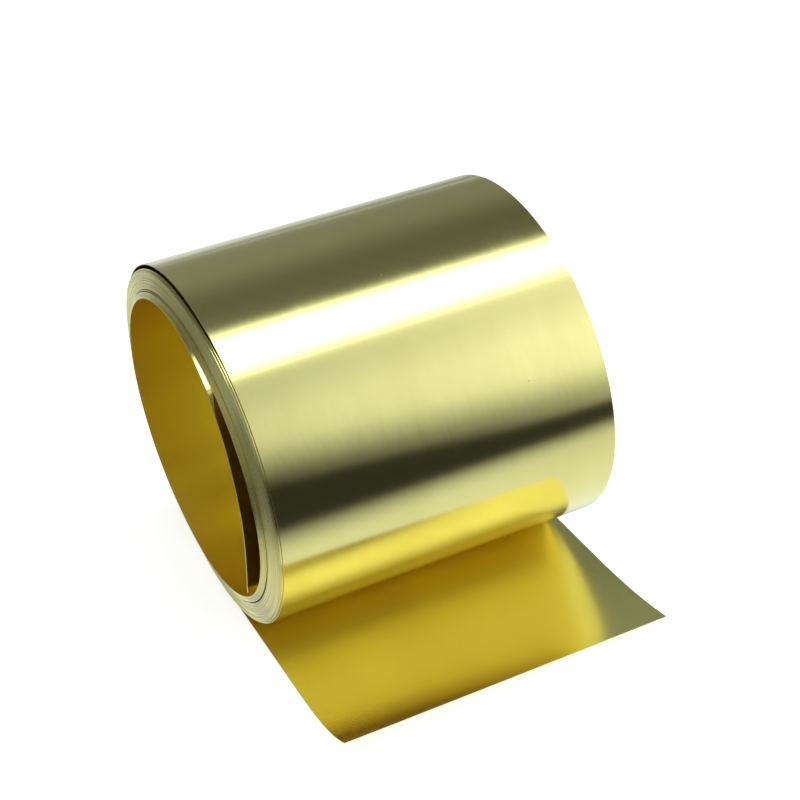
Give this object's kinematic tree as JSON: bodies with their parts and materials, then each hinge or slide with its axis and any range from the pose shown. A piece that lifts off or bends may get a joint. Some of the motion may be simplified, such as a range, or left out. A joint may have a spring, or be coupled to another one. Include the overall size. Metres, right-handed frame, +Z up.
{
  "type": "brass foil roll",
  "caption": "Roll of brass foil, a thin strip wound on itself with an open bore and a loose end run out along the floor.",
  "frame": {"origin": "middle of the whole object's footprint, on the floor it lies on", "axes": "+X the way the loose end runs, +Y along the roll's axis from the end with the slid-out turns, +Z up"},
  "size_m": [0.133, 0.104, 0.106],
  "materials": {
    "brass": "bright rolled"
  },
  "bodies": {
    "root": {"brass_strip": "brass"}
  },
  "joints": []
}
